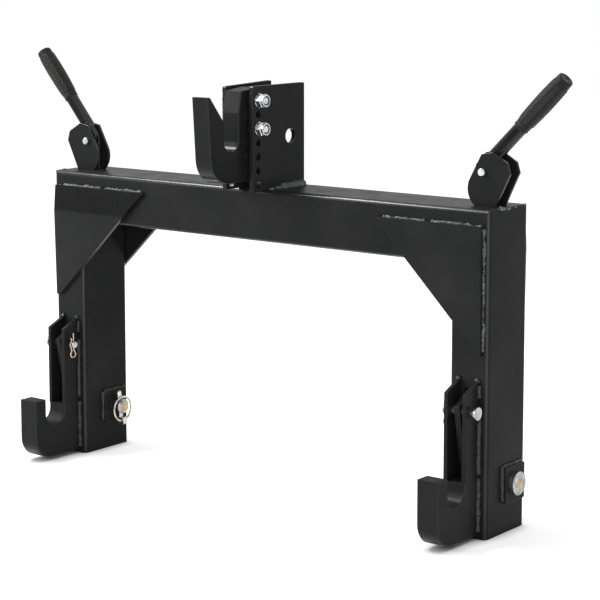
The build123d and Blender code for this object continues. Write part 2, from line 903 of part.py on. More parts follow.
def make_grip(side, side_name):
    """Barrel-shaped grip with a blind bore, closed at its end but for a small vent."""
    plane = lever_plane(side, side_name, grip_distance)
    belly = grip_belly_share * grip_length
    with BuildPart() as grip:
        with BuildSketch(Plane(origin=plane.origin, x_dir=plane.x_dir, z_dir=-plane.y_dir)) as profile:
            with BuildLine():
                barrel = ThreePointArc(
                    (grip_root_radius, 0),
                    (grip_belly_radius, belly),
                    (grip_end_radius, grip_length),
                )
                Polyline(
                    barrel @ 1,
                    (grip_vent_radius, grip_length),
                    (grip_vent_radius, grip_length - grip_vent_depth),
                    (0, grip_length - grip_vent_depth),
                    (0, lever_end_distance - grip_distance),
                    (lever_radius, lever_end_distance - grip_distance),
                    (lever_radius, 0),
                    barrel @ 0,
                )
            make_face()
        revolve(axis=Axis(plane.origin, plane.z_dir))
    return grip


def make_pull_rod(side, side_name):
    """Bent rod down the inside of a leg, from the lever's crank to the latch's arm."""
    top_x, top_z = crank_point(side, side_name)
    foot_y, foot_z = latch_point(latch_rest_deg(side_name), latch_arm, 0)
    arm_face = leg_centre - latch_thickness / 2
    foot_x = at_x(side, arm_face - rod_foot_side_gap - rod_radius)
    foot_end = at_x(side, arm_face + latch_thickness + rod_foot_tail)
    crook = rod_elbow_radius + rod_radius
    runs = [
        (
            rod_elbow_radius,
            (top_x, crank_front_y, top_z),
            (top_x, rod_top_y, top_z),
            (top_x, rod_top_y, top_z - rod_elbow_length),
        ),
        (
            rod_bend_radius,
            (top_x, rod_top_y, top_z - crook),
            (top_x, rod_top_y, top_z - rod_upper_bend_drop),
            (foot_x, foot_y, foot_z + rod_lower_bend_rise),
            (foot_x, foot_y, foot_z + crook),
        ),
        (
            rod_elbow_radius,
            (foot_x, foot_y, foot_z + rod_elbow_length),
            (foot_x, foot_y, foot_z),
            (foot_end, foot_y, foot_z),
        ),
    ]
    with BuildPart() as rod:
        for bend, *points in runs:
            with BuildLine() as path:
                FilletPolyline(*points, radius=bend)
            with BuildSketch(Plane(origin=path.line @ 0, z_dir=path.line % 0)):
                Circle(rod_radius)
            sweep(path=path.line)
    return rod


os.makedirs("parts", exist_ok=True)

save(make_cross_tube(), "cross_tube")
save(make_top_hook(), "top_hook")
save(make_hook_bolts(), "hook_bolts")
save(make_hook_nuts(), "hook_nuts")
save(make_hook_washers(), "hook_washers")
save(make_hook_spacers(), "hook_spacers")

for side_name, side in sides.items():
    save(make_leg(side), f"{side_name}_leg")
    save(make_gusset(side, side_name, front_y, -1), f"{side_name}_front_gusset")
    save(make_gusset(side, side_name, rear_y, 1), f"{side_name}_rear_gusset")
    save(make_lower_hook(side), f"{side_name}_lower_hook")
    save(make_latch_plate(side, -1), f"{side_name}_inner_latch_plate")
    save(make_latch_plate(side, 1), f"{side_name}_outer_latch_plate")
    save(make_latch(side, side_name), f"{side_name}_latch")
    save(make_latch_pin(side), f"{side_name}_latch_pin")
    save(make_latch_clip(side), f"{side_name}_latch_clip")
    save(make_pin_plate(side, -1), f"{side_name}_inner_pin_plate")
    save(make_pin_plate(side, 1), f"{side_name}_outer_pin_plate")
    save(make_link_pin(side), f"{side_name}_lower_link_pin")
    save(make_linchpin(side), f"{side_name}_linchpin")
    save(make_linchpin_ring(side), f"{side_name}_linchpin_ring")
    save(make_bracket_plate(side, side_name), f"{side_name}_bracket_plate")
    save(make_handle_plate(side, side_name, -1), f"{side_name}_front_handle_plate")
    save(make_handle_plate(side, side_name, 1), f"{side_name}_rear_handle_plate")
    save(make_handle_pin(side, side_name), f"{side_name}_handle_pin")
    save(make_lever(side, side_name), f"{side_name}_lever")
    save(make_grip(side, side_name), f"{side_name}_grip")
    save(make_pull_rod(side, side_name), f"{side_name}_pull_rod")
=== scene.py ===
# Looks of the three point quick hitch: black powder coat, weld beads, plated pins, ribbed grips,
# and a pale studio with the camera at the photograph's angle. Lengths are in metres.
import json
import math

import bpy
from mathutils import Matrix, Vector, noise


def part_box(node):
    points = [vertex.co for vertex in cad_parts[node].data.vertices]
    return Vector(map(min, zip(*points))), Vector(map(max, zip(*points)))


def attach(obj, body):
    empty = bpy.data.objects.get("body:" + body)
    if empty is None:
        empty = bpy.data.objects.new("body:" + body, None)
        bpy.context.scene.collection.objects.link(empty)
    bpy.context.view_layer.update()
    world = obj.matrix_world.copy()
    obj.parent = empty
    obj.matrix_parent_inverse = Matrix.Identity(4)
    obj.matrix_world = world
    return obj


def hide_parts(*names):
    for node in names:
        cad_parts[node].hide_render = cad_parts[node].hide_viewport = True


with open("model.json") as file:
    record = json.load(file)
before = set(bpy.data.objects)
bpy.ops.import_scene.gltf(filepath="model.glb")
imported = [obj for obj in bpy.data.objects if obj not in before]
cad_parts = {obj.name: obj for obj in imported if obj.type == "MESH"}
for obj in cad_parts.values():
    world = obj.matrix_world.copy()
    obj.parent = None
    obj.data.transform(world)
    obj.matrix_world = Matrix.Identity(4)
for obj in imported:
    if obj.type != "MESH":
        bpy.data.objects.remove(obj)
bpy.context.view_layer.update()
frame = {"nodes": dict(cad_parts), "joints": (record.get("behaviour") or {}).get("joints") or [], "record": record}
mm = 0.001
sides = {"left": -1, "right": 1}
white = (1.0, 1.0, 1.0, 1.0)


def tint(value, warm=0.0):
    """Grey of a linear value, a little warmer or cooler."""
    return (value * (1 + warm), value, value * (1 - warm), 1.0)


class Shader:
    """A material's node tree, with short calls for the nodes that the finishes share."""

    def __init__(self, name):
        self.material = bpy.data.materials.new(name)
        self.material.use_nodes = True
        self.tree = self.material.node_tree
        self.bsdf = self.tree.nodes["Principled BSDF"]
        self.place = self.node("ShaderNodeTexCoord").outputs["Object"]

    def node(self, kind, **inputs):
        made = self.tree.nodes.new(kind)
        for name, value in inputs.items():
            made.inputs[name.replace("_", " ")].default_value = value
        return made

    def link(self, source, target):
        self.tree.links.new(source, target)

    def set(self, **values):
        for name, value in values.items():
            self.bsdf.inputs[name.replace("_", " ")].default_value = value

    def feed(self, **sources):
        for name, source in sources.items():
            self.link(source, self.bsdf.inputs[name.replace("_", " ")])

    def surface(self, output):
        return self.node("ShaderNodeNewGeometry").outputs[output]

    def split(self, vector):
        """X, Y and Z of a vector."""
        made = self.node("ShaderNodeSeparateXYZ")
        self.link(vector, made.inputs[0])
        return made.outputs

    def noise(self, scale, detail=3.0, roughness=0.55):
        made = self.node("ShaderNodeTexNoise", Scale=scale, Detail=detail, Roughness=roughness)
        self.link(self.place, made.inputs["Vector"])
        return made.outputs["Fac"]

    def ramp(self, source, *stops):
        """Colour ramp through (position, colour) stops."""
        made = self.node("ShaderNodeValToRGB")
        elements = made.color_ramp.elements
        elements[0].position, elements[0].color = stops[0]
        elements[1].position, elements[1].color = stops[-1]
        for position, colour in stops[1:-1]:
            elements.new(position).color = colour
        self.link(source, made.inputs["Fac"])
        return made.outputs["Color"]

    def level(self, source, low, high, start=0.3, end=0.7):
        """Maps a source from start to end onto plain values from low to high."""
        made = self.node(
            "ShaderNodeMapRange", From_Min=start, From_Max=end, To_Min=low, To_Max=high
        )
        self.link(source, made.inputs["Value"])
        return made.outputs["Result"]

    def blend(self, share, first, second):
        """From the first colour to the second. Each is a node's output or a plain colour."""
        made = self.node("ShaderNodeMix")
        made.data_type = "RGBA"
        self.link(share, made.inputs["Factor"])
        for name, colour in (("A", first), ("B", second)):
            if isinstance(colour, tuple):
                made.inputs[name].default_value = colour
            else:
                self.link(colour, made.inputs[name])
        return made.outputs["Result"]

    def math(self, operation, first, second=0.0):
        made = self.node("ShaderNodeMath")
        made.operation = operation
        for socket, source in zip(made.inputs, (first, second)):
            if isinstance(source, float):
                socket.default_value = source
            else:
                self.link(source, socket)
        return made.outputs[0]

    def dot(self, first, second):
        made = self.node("ShaderNodeVectorMath")
        made.operation = "DOT_PRODUCT"
        self.link(first, made.inputs[0])
        self.link(second, made.inputs[1])
        return made.outputs["Value"]

    def bump(self, height, distance, strength, below=None):
        made = self.node("ShaderNodeBump", Strength=strength, Distance=distance)
        self.link(height, made.inputs["Height"])
        if below:
            self.link(below, made.inputs["Normal"])
        return made.outputs["Normal"]

    def soft_edges(self, radius):
        made = self.node("ShaderNodeBevel", Radius=radius)
        made.samples = edge_samples
        return made.outputs["Normal"]

    def turned_away(self, soft):
        """0 on a flat face square to the axes, more on rounded tube corners and plate edges."""
        near_edge = self.dot(soft, self.surface("True Normal"))
        x, y, z = [self.math("ABSOLUTE", part) for part in self.split(self.surface("Normal"))]
        square = self.math("MAXIMUM", self.math("MAXIMUM", x, y), z)
        return self.math("SUBTRACT", 1.0, self.math("MINIMUM", near_edge, square))


# Finishes. Colours and values are linear.
edge_samples = 6
paint_value = 0.0238
paint_roughness = 0.22
paint_peel = 0.12
plate_peel = 0.14
gusset_roughness = 0.26
paint_edge_radius = 0.9 * mm
handle_edge_radius = 1.3 * mm
plating_edge_radius = 0.35 * mm
paint_ior = 1.125
paint_edge_ior = 1.62
plate_ior = 1.34
gusset_ior = 1.22
hook_ior = 1.28
handle_edge_ior = 1.95
bar_ior = 1.42
weld_ior = 1.5
rubber_ior = 1.28
top_dust = 0.16
crease_heights = (352.5 * mm, 355.5 * mm)
edge_fade_heights = (100 * mm, 380 * mm)
straw_reach = 0.17
straw_fade = 0.06


def powder_coat(name, value=paint_value, roughness=paint_roughness, peel=paint_peel,
                edge_radius=paint_edge_radius, edge_ior=paint_edge_ior,
                low_edge=1.0, top_shade=1.0):
    """Satin black powder coat: orange peel, faint mottling and soft plate edges.

    Flat faces are least glossy, and edges and rounded corners rise to edge_ior. low_edge is the
    share of that rise that is left near the floor, and top_shade is painted shade: it darkens
    the colour of a corner plate above its crease.
    """
    coat = Shader(name)
    height = coat.split(coat.place)[2]
    shade = coat.node("ShaderNodeHueSaturation")
    mottle = coat.ramp(
        coat.noise(scale=9.0, detail=5.0),
        (0.30, tint(value * 0.75, -0.02)),
        (0.55, tint(value, -0.01)),
        (0.75, tint(value * 1.35, 0.03)),
    )
    coat.link(mottle, shade.inputs["Color"])
    # Painted shade: above the crease height the colour is darkened by top_shade.
    coat.link(coat.level(height, 1.0, top_shade, *crease_heights), shade.inputs["Value"])
    smear = coat.noise(scale=32.0, detail=6.0, roughness=0.65)
    satin = coat.level(smear, roughness - 0.05, roughness + 0.07)
    facing_up = coat.split(coat.surface("Normal"))[2]
    dust = coat.level(facing_up, 0.0, top_dust, start=0.90, end=0.99)
    soft = coat.soft_edges(edge_radius)
    flow = coat.bump(coat.noise(scale=45.0, detail=2.0), 0.25 * mm, 0.35, below=soft)
    grain = coat.bump(coat.noise(scale=620.0, detail=2.0), 0.05 * mm, peel, below=flow)
    kept = coat.level(height, low_edge, 1.0, *edge_fade_heights)
    edges = coat.math("MULTIPLY", coat.turned_away(soft), kept)
    coat.feed(
        Base_Color=shade.outputs["Color"],
        Roughness=coat.math("ADD", satin, dust),
        Normal=grain,
        IOR=coat.level(edges, paint_ior, edge_ior, start=0.03, end=0.26),
    )
    return coat.material


def weld_coat(name, shadow, middle, painted_glint, grain_scale=420.0, grit=0.6):
    """The same paint over a weld bead, thinner and shinier on the ripples. Its lightest specks are painted glints.
    """
    coat = Shader(name)
    grain = coat.noise(grain_scale, detail=4.0)
    coat.feed(
        Base_Color=coat.ramp(
            grain, (0.35, tint(shadow)), (0.58, tint(middle, -0.03)), (0.72, tint(painted_glint, -0.05))
        ),
        Roughness=coat.level(grain, 0.22, 0.40),
        Normal=coat.bump(coat.noise(scale=700.0, detail=3.0), 0.25 * mm, grit),
    )
    coat.set(IOR=weld_ior)
    return coat.material


def zinc(name, dull, bright, straw, roughness):
    """Zinc plate: faint spangle with cool, bright and straw patches, and fine scratches."""
    plate = Shader(name)
    cloud = plate.noise(scale=80.0, detail=5.0)
    smear = plate.noise(scale=260.0, detail=5.0)
    edges = plate.soft_edges(plating_edge_radius)
    dents = plate.bump(plate.noise(scale=190.0, detail=3.0), 0.12 * mm, 0.5, below=edges)
    plate.feed(
        Base_Color=plate.ramp(cloud, (0.32, dull), (0.52, bright), (0.72, straw)),
        Roughness=plate.level(smear, roughness * 0.75, roughness * 1.35),
        Normal=plate.bump(plate.noise(scale=1400.0, detail=2.0), 0.02 * mm, 0.3, below=dents),
    )
    plate.set(Metallic=1.0)
    return plate.material


def pin_zinc():
    """Zinc of the lower link pins: silver rim, straw patch on the middle of each end face."""
    plate = Shader("pin_zinc")
    cloud = plate.noise(scale=150.0, detail=4.0)
    silver = plate.ramp(
        cloud,
        (0.32, (0.26, 0.26, 0.26, 1)),
        (0.55, (0.42, 0.42, 0.41, 1)),
        (0.72, (0.56, 0.55, 0.53, 1)),
    )
    straw = plate.ramp(cloud, (0.35, (0.36, 0.27, 0.14, 1)), (0.70, (0.52, 0.40, 0.20, 1)))
    _, *across = plate.split(plate.node("ShaderNodeTexCoord").outputs["Generated"])
    offsets = [plate.math("SUBTRACT", part, 0.5) for part in across]
    squares = [plate.math("MULTIPLY", offset, offset) for offset in offsets]
    apart = plate.math("SQRT", plate.math("ADD", *squares))
    ragged = plate.math("ADD", apart, plate.level(plate.noise(scale=220.0), -0.10, 0.10))
    patch = plate.level(ragged, 0.0, 1.0, start=straw_reach + straw_fade, end=straw_reach)
    edges = plate.soft_edges(plating_edge_radius)
    plate.feed(
        Base_Color=plate.blend(patch, silver, straw),
        Roughness=plate.level(plate.noise(scale=260.0, detail=5.0), 0.22, 0.42),
        Normal=plate.bump(plate.noise(scale=420.0, detail=4.0), 0.15 * mm, 0.6, below=edges),
    )
    plate.set(Metallic=1.0)
    return plate.material


def nylon():
    """Dark insert ring of a lock nut, slightly marbled."""
    ring = Shader("nylon_insert")
    cloud = ring.noise(scale=300.0, detail=3.0)
    ring.feed(
        Base_Color=ring.ramp(
            cloud, (0.35, (0.004, 0.006, 0.016, 1.0)), (0.70, (0.012, 0.018, 0.045, 1.0))
        ),
        Roughness=ring.level(cloud, 0.35, 0.50),
    )
    return ring.material


def grip_rubber():
    """Matt black moulded rubber with dust in the ribs, and lighter rib crests."""
    rubber = Shader("grip_rubber")
    dust = rubber.noise(scale=160.0, detail=5.0)
    soft = rubber.ramp(
        dust,
        (0.35, tint(0.006, 0.01)),
        (0.62, tint(0.011, 0.02)),
        (0.85, tint(0.024, 0.03)),
    )
    # Rib crests lighter in colour, by the surface's pointiness.
    lighter_crests = rubber.level(rubber.surface("Pointiness"), 0.0, 1.0, start=0.505, end=0.545)
    rubber.feed(
        Base_Color=rubber.blend(lighter_crests, soft, tint(0.150, 0.02)),
        Roughness=rubber.level(dust, 0.36, 0.50),
        Normal=rubber.bump(rubber.noise(scale=1500.0, detail=2.0), 0.05 * mm, 0.4),
    )
    rubber.set(IOR=rubber_ior)
    return rubber.material


finishes = {
    "black_paint": powder_coat("black_paint"),
    "zinc_plate": zinc(
        "zinc_plate",
        dull=(0.40, 0.42, 0.45, 1),
        bright=(0.66, 0.66, 0.66, 1),
        straw=(0.72, 0.69, 0.63, 1),
        roughness=0.26,
    ),
    "grip_rubber": grip_rubber(),
}
bar_finish = powder_coat("bar_paint", value=0.014, roughness=0.20, edge_ior=bar_ior)
plate_finish = powder_coat("plate_paint", roughness=0.26, peel=plate_peel, edge_ior=plate_ior)
lower_hook_finish = powder_coat(
    "lower_hook_paint", roughness=0.34, peel=plate_peel, edge_ior=hook_ior
)
bracket_finish = powder_coat("bracket_paint", value=0.028, roughness=0.24, peel=plate_peel)
leg_finish = powder_coat("leg_paint", low_edge=0.60)
# Left front gusset: painted shade on its upper part, above the crease.
shaded_gusset_finish = powder_coat(
    "shaded_gusset_paint", value=0.0265, roughness=gusset_roughness, peel=plate_peel,
    edge_ior=gusset_ior, top_shade=0.56,
)
handle_plate_finish = powder_coat(
    "handle_plate_paint", roughness=0.24, edge_radius=handle_edge_radius, edge_ior=handle_edge_ior
)
gusset_finish = powder_coat(
    "gusset_paint", value=0.0255, roughness=gusset_roughness, peel=plate_peel, edge_ior=gusset_ior
)
bead_finish = weld_coat("weld_coat", shadow=0.008, middle=0.022, painted_glint=0.090)
# Painted highlights: a light grey bead with near-white specks, for the beads that the lamps catch.
highlight_painted_bead_finish = weld_coat("highlight_painted_weld_coat", shadow=0.030, middle=0.150, painted_glint=0.480)
smooth_bead_finish = weld_coat(
    "smooth_weld_coat", shadow=0.014, middle=0.026, painted_glint=0.050, grain_scale=160.0, grit=0.15
)
# Painted light: pale grey fillets at the bracket plates' feet, which sit in the plates' shade.
light_painted_bead_finish = weld_coat(
    "light_painted_weld_coat", shadow=0.090, middle=0.165, painted_glint=0.270, grain_scale=260.0, grit=0.35
)
insert_finish = nylon()
dull_zinc = zinc(
    "dull_zinc",
    dull=(0.30, 0.29, 0.30, 1),
    bright=(0.48, 0.46, 0.47, 1),
    straw=(0.56, 0.53, 0.53, 1),
    roughness=0.32,
)
yellow_zinc = zinc(
    "yellow_zinc",
    dull=(0.42, 0.38, 0.31, 1),
    bright=(0.64, 0.62, 0.57, 1),
    straw=(0.66, 0.53, 0.38, 1),
    roughness=0.24,
)
clip_zinc = zinc(
    "clip_zinc",
    dull=(0.50, 0.38, 0.26, 1),
    bright=(0.66, 0.52, 0.38, 1),
    straw=(0.72, 0.60, 0.48, 1),
    roughness=0.28,
)
# By node, or by a node's name without its side
special = {
    "lever": bar_finish,
    "hook": plate_finish,
    "lower_hook": lower_hook_finish,
    "inner_latch_plate": plate_finish,
    "outer_latch_plate": plate_finish,
    "left_front_gusset": shaded_gusset_finish,
    "front_gusset": gusset_finish,
    "rear_gusset": gusset_finish,
    "latch_clip": clip_zinc,
    "latch_pin": dull_zinc,
    "front_handle_plate": handle_plate_finish,
    "rear_handle_plate": handle_plate_finish,
    "bracket_plate": bracket_finish,
    "leg": leg_finish,
    "lower_link_pin": pin_zinc(),
    "linchpin": yellow_zinc,
    "linchpin_ring": yellow_zinc,
}


def dress(piece, finish):
    piece.data.materials.clear()
    piece.data.materials.append(finish)


slots = {row["node"]: row["material_slot"] for row in frame["record"]["subparts"]}
for node, piece in frame["nodes"].items():
    kind = node.split("_", 1)[1]
    dress(piece, special.get(node, special.get(kind, finishes[slots[node]])))


def add_piece(name, points, faces, body, finish):
    """New smooth mesh piece that rides on a body."""
    mesh = bpy.data.meshes.new(name)
    mesh.from_pydata(points, [], faces)
    mesh.update()
    mesh.polygons.foreach_set("use_smooth", [True] * len(mesh.polygons))
    piece = bpy.data.objects.new(name, mesh)
    bpy.context.scene.collection.objects.link(piece)
    dress(piece, finish)
    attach(piece, body)
    return piece


def rings_to_faces(rings, around, first=0, closed_ends=True):
    """Quads between successive rings of points, and a face on each end."""
    faces = []
    for ring in range(rings - 1):
        for k in range(around):
            a = first + ring * around + k
            b = first + ring * around + (k + 1) % around
            faces.append((a, b, b + around, a + around))
    if closed_ends:
        faces.append(tuple(first + k for k in reversed(range(around))))
        last = first + (rings - 1) * around
        faces.append(tuple(last + k for k in range(around)))
    return faces


# Weld beads: the shape of one bead
bead_step = 0.6 * mm
bead_around = 14
bead_taper = 3.0 * mm
bead_least = 0.15
bead_pitch = 3.0 * mm
bead_ripple = 0.30
pitch_drift = 0.35
pitch_drift_length = 14 * mm
lump_length = 7 * mm
bead_wander = 1.2 * mm
wander_length = 9 * mm
grit_depth = 0.22
grit_length = 3 * mm
grit_turns = 2
# Tracks through the noise, one for each fault of a bead
pitch_track = 9.5
lump_track = 0.5
wander_track_a = 3.5
wander_track_b = 7.5
seed_step = 1.7

# Kinds of beads
seam_ragged = 0.45
smooth_ragged = 0.22
fine_ragged = 1.1
seam_radius = 3.8 * mm
wide_radius = 4.4 * mm
thin_radius = 1.6 * mm
fine_radius = 2.5 * mm
fillet_radius = 7.8 * mm
seams = {"left": (seam_ragged, bead_finish), "right": (smooth_ragged, smooth_bead_finish)}

# Where the beads start and stop, from the edges of what they join
gusset_split = 0.46
gusset_gap = 7 * mm
gusset_top_gap = 2 * mm
gusset_foot_gap = 4 * mm
hook_foot_gap = 3 * mm
hook_top_lap = 2 * mm
latch_plate_foot_gap = 6 * mm
latch_plate_break = (30 * mm, 22 * mm)
latch_plate_top_gap = 4 * mm
blob_below = 3 * mm
blob_above = 4 * mm
pin_plate_lift = 2 * mm
pin_plate_top_gap = 1 * mm
pin_plate_rear_gap = 3 * mm
fillet_start = 28 * mm
fillet_rear_gap = 1 * mm
outer_tacks = ((4 * mm, 13 * mm), (17 * mm, 34 * mm))
inner_tack_start = 30 * mm
inner_tack_rear_gap = 4 * mm
mitre_inset = 1.2 * mm
mitre_dashes = ((5 * mm, 52 * mm), (58 * mm, 66 * mm))
mitre_last_start = 72 * mm
mitre_rear_gap = 4 * mm


def drift(s, length, seed, track):
    """Smooth noise along a bead, from about -1 to 1."""
    return noise.noise(Vector((s / length, seed, track)))


def bead_points(start, end, radius, ragged, seed):
    """Rings of one bead: ripples, lumps, a slight wander and tapered ends."""
    run = end - start
    length = run.length
    along = run.normalized()
    across = along.orthogonal().normalized()
    up = along.cross(across)
    rings = max(3, round(length / bead_step))
    points = []
    for ring in range(rings + 1):
        s = length * ring / rings
        pitch = bead_pitch * (1.0 + pitch_drift * drift(s, pitch_drift_length, seed, pitch_track))
        ripple = 1.0 - bead_ripple * ((s / pitch) % 1.0)
        lump = 1.0 + ragged * drift(s, lump_length, seed, lump_track)
        end_share = max(0.0, min(1.0, min(s, length - s) / bead_taper))
        fade = math.sin(end_share * math.pi / 2) ** 0.5
        size = radius * ripple * lump * max(fade, bead_least)
        shift_a = ragged * bead_wander * drift(s, wander_length, seed, wander_track_a)
        shift_b = ragged * bead_wander * drift(s, wander_length, seed, wander_track_b)
        centre = start + along * s + across * shift_a + up * shift_b
        for k in range(bead_around):
            turn = 2 * math.pi * k / bead_around
            a, b = math.cos(turn), math.sin(turn)
            spot = Vector((s / grit_length, grit_turns * a, grit_turns * b + seed))
            rough = 1.0 + grit_depth * noise.noise(spot)
            points.append(centre + (across * a + up * b) * size * rough)
    return points, rings + 1


def add_beads(name, runs, radius, ragged, finish):
    """One piece holding several beads. runs are (start, end) pairs."""
    points, faces = [], []
    for index, (start, end) in enumerate(runs):
        seed = index * seed_step + len(name)
        bead, rings = bead_points(Vector(start), Vector(end), radius, ragged, seed)
        faces += rings_to_faces(rings, bead_around, len(points))
        points += bead
    add_piece(name, points, faces, "frame", finish)


tube_low, tube_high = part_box("cross_tube")
front_y, rear_y, top_z = tube_low.y, tube_high.y, tube_high.z


def mirrored(side, low, high):
    """Inner and outer X of a box on one side, seen from the middle."""
    return (low.x, high.x) if side > 0 else (high.x, low.x)


def gusset_beads(side_name, side, face_name, face_y):
    """Ragged fine beads along the gusset's top and down its outer edge, with painted highlights."""
    low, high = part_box(f"{side_name}_{face_name}_gusset")
    inner, outer = mirrored(side, low, high)
    gap = side * gusset_gap
    middle = inner + (outer - inner) * gusset_split
    runs = [
        ((inner + gap, face_y, high.z), (middle, face_y, high.z)),
        ((middle + gap, face_y, high.z), (outer - gap / 3, face_y, high.z)),
        ((outer, face_y, high.z - gusset_top_gap), (outer, face_y, low.z + gusset_foot_gap)),
    ]
    name = f"{side_name}_{face_name}_gusset_welds"
    add_beads(name, runs, fine_radius, fine_ragged, highlight_painted_bead_finish)


def hook_beads(side_name, side):
    """Beads up both sides of the hook and its latch plates, where they meet the leg."""
    hook_low, hook_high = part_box(f"{side_name}_lower_hook")
    runs = []
    for wall, x in zip(("inner", "outer"), mirrored(side, hook_low, hook_high)):
        plate_low, plate_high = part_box(f"{side_name}_{wall}_latch_plate")
        face = plate_high.x if x == hook_high.x else plate_low.x
        middle = (plate_low.x + plate_high.x) / 2
        foot, top = plate_low.z, plate_high.z
        break_start, break_end = latch_plate_break
        for bead_x, start, end in (
            (x, hook_low.z + hook_foot_gap, foot + hook_top_lap),
            (face, foot + latch_plate_foot_gap, top - break_start),
            (face, top - break_end, top - latch_plate_top_gap),
            (middle, top - blob_below, top + blob_above),
        ):
            runs.append(((bead_x, front_y, start), (bead_x, front_y, end)))
    ragged, finish = seams[side_name]
    add_beads(f"{side_name}_hook_welds", runs, wide_radius, ragged, finish)


def pin_plate_beads(side_name, side, wall):
    """Beads on three edges of a pin plate, where it meets the leg."""
    low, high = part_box(f"{side_name}_{wall}_pin_plate")
    inner, outer = mirrored(side, low, high)
    x = outer if wall == "inner" else inner
    runs = [
        ((x, low.y, low.z + pin_plate_lift), (x, low.y, high.z + pin_plate_lift)),
        ((x, low.y + pin_plate_top_gap, high.z), (x, high.y, high.z)),
        ((x, high.y, high.z - pin_plate_rear_gap), (x, high.y, low.z + pin_plate_rear_gap)),
    ]
    ragged, finish = seams[side_name]
    add_beads(f"{side_name}_{wall}_pin_plate_welds", runs, seam_radius, ragged, finish)


def bracket_beads():
    """Beads at the feet of the top bracket's plates, outside and inside, with painted light and highlights."""
    fillets, tacks = [], []
    for side_name, side in sides.items():
        low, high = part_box(f"{side_name}_bracket_plate")
        inner, outer = mirrored(side, low, high)
        fillets.append((
            (outer, front_y + fillet_start, top_z),
            (outer, high.y - fillet_rear_gap, top_z),
        ))
        for start, end in outer_tacks:
            tacks.append(((outer, front_y + start, top_z), (outer, front_y + end, top_z)))
        tacks.append((
            (inner, front_y + inner_tack_start, top_z),
            (inner, high.y - inner_tack_rear_gap, top_z),
        ))
    add_beads("top_bracket_fillets", fillets, fillet_radius, smooth_ragged, light_painted_bead_finish)
    add_beads("top_bracket_tacks", tacks, wide_radius, seam_ragged, highlight_painted_bead_finish)


def mitre_beads(side_name, side):
    """Bead over the outer end of each mitre, along the top of the leg's outer face, with painted highlights."""
    leg_low, leg_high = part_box(f"{side_name}_leg")
    inner, outer = mirrored(side, leg_low, leg_high)
    x = outer - side * mitre_inset
    z = top_z - mitre_inset
    spans = [(front_y + start, front_y + end) for start, end in mitre_dashes]
    spans.append((front_y + mitre_last_start, rear_y - mitre_rear_gap))
    runs = [((x, start, z), (x, end, z)) for start, end in spans]
    add_beads(f"{side_name}_mitre_weld", runs, thin_radius, fine_ragged, highlight_painted_bead_finish)


for side_name, side in sides.items():
    gusset_beads(side_name, side, "front", front_y)
    gusset_beads(side_name, side, "rear", rear_y)
    hook_beads(side_name, side)
    pin_plate_beads(side_name, side, "inner")
    pin_plate_beads(side_name, side, "outer")
    mitre_beads(side_name, side)
bracket_beads()


# Dark inserts of the hook's lock nuts
insert_inner = 5.05 * mm
insert_outer = 6.4 * mm
insert_recess = 1.3 * mm
insert_around = 40
insert_chamfer = 0.3 * mm
insert_profile = (
    (0, insert_inner),
    (0.5 * mm, insert_inner),
    (0.8 * mm, insert_inner + insert_chamfer),
    (0.8 * mm, insert_outer - insert_chamfer),
    (0.6 * mm, insert_outer),
    (0, insert_outer),
)
bolt_heights = (82 * mm, 119 * mm)
bolt_setback = 18 * mm


def add_inserts():
    """Rings round the bolt ends, inside the collars of the nuts."""
    nut_low, nut_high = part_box("hook_nuts")
    points, faces = [], []
    for height in bolt_heights:
        centre = Vector((nut_high.x - insert_recess, front_y - bolt_setback, top_z + height))
        faces += rings_to_faces(
            len(insert_profile), insert_around, len(points), closed_ends=False
        )
        for lift, radius in insert_profile:
            for k in range(insert_around):
                turn = 2 * math.pi * k / insert_around
                spot = Vector((lift, radius * math.cos(turn), radius * math.sin(turn)))
                points.append(centre + spot)
    add_piece("nut_inserts", points, faces, "frame", insert_finish)


add_inserts()


# Ribbed grips
handle_rest = {"left": math.radians(40.5), "right": math.radians(45)}
lever_offset = 7.1 * mm
lever_radius = 9 * mm
grip_distance = 72.5 * mm
grip_length = 87 * mm
grip_root = 10.3 * mm
grip_belly = 12.3 * mm
grip_tip = 10.9 * mm
belly_at = 0.52
grip_around = 112
grip_ring_step = 0.4 * mm
root_face_inset = 0.6 * mm
root_inset = 0.1 * mm
root_round = 0.5 * mm
root_rings = 2
collar_length = 6 * mm
groove_depth = 0.5 * mm
groove_half = 0.6 * mm
tip_round = 1.6 * mm
tip_rings = 6
vent_radius = 1.5 * mm
vent_depth = 6.0 * mm
vent_chamfer = 0.3 * mm
rib_pitch = 3.0 * mm
rib_height = 0.7 * mm
rib_valley = 0.30
rib_slope = 0.35
rib_strips = 9
rib_strip_share = 0.62
rib_strip_fade = 0.12
rib_margin = 9 * mm
rib_margin_fade = 2 * mm


def barrel_radius(t):
    """Radius of the smooth barrel at a share of its length."""
    root = grip_root * (t - belly_at) * (t - 1) / belly_at
    belly = grip_belly * t * (t - 1) / (belly_at * (belly_at - 1))
    tip = grip_tip * t * (t - belly_at) / (1 - belly_at)
    return root + belly + tip


def smooth_step(x):
    x = max(0.0, min(1.0, x))
    return x * x * (3 - 2 * x)


def rib(s, turn):
    """Height of the ribs at a length and an angle: short bars in strips along the grip."""
    strip = turn / (2 * math.pi) * rib_strips
    off = abs((strip % 1.0) - 0.5) * 2
    inside = smooth_step((rib_strip_share - off) / rib_strip_fade)
    phase = s / rib_pitch + 0.5 * (int(strip) % 2)
    bar = smooth_step((abs((phase % 1.0) - 0.5) * 2 - rib_valley) / rib_slope)
    root_end = smooth_step((s - rib_margin) / rib_margin_fade)
    tip_end = smooth_step((grip_length - rib_margin - s) / rib_margin_fade)
    return rib_height * inside * bar * (root_end * tip_end)


